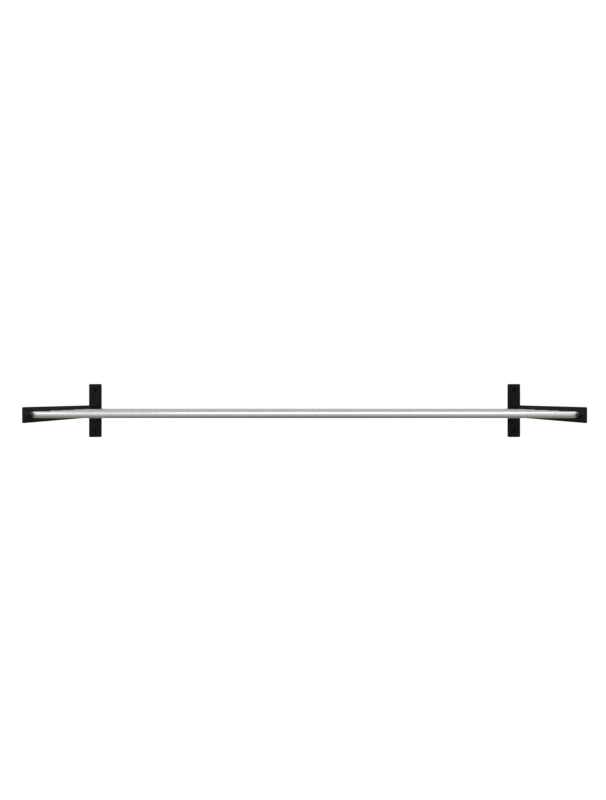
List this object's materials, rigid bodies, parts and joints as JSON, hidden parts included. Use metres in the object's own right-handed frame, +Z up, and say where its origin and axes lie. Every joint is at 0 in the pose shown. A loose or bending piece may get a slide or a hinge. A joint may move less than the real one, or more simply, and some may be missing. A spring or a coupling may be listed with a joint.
{
  "type": "wine rack",
  "caption": "Wall-mounted label-forward bottle rack: round aluminium rods in pairs, carried between two black side rails that are welded to upright wall plates, each with two wall screws.",
  "frame": {"origin": "on the wall plane, midway between the two sides, at the height of the rods' axes", "axes": "+X to the rack's right as seen from the front, along the rods; +Z up; the front faces -Y and the wall is at y = 0"},
  "size_m": [1.0758, 0.3192, 0.1328],
  "materials": {
    "black_powder_coat": "fine-texture satin black powder coat on steel",
    "satin_aluminium": "satin brushed and clear anodised, slightly warm",
    "black_screw_steel": "black oxide, lightly oiled"
  },
  "bodies": {
    "root": {"left_side_rail": "black_powder_coat", "right_side_rail": "black_powder_coat", "left_wall_plate": "black_powder_coat", "right_wall_plate": "black_powder_coat", "front_row_front_rod": "satin_aluminium", "front_row_rear_rod": "satin_aluminium", "middle_row_front_rod": "satin_aluminium", "middle_row_rear_rod": "satin_aluminium", "rear_row_front_rod": "satin_aluminium", "rear_row_rear_rod": "satin_aluminium", "front_row_front_rod_left_screw": "black_screw_steel", "front_row_front_rod_right_screw": "black_screw_steel", "front_row_rear_rod_left_screw": "black_screw_steel", "front_row_rear_rod_right_screw": "black_screw_steel", "middle_row_front_rod_left_screw": "black_screw_steel", "middle_row_front_rod_right_screw": "black_screw_steel", "middle_row_rear_rod_left_screw": "black_screw_steel", "middle_row_rear_rod_right_screw": "black_screw_steel", "rear_row_front_rod_left_screw": "black_screw_steel", "rear_row_front_rod_right_screw": "black_screw_steel", "rear_row_rear_rod_left_screw": "black_screw_steel", "rear_row_rear_rod_right_screw": "black_screw_steel", "left_upper_wall_screw": "black_screw_steel", "left_lower_wall_screw": "black_screw_steel", "right_upper_wall_screw": "black_screw_steel", "right_lower_wall_screw": "black_screw_steel"}
  },
  "joints": []
}
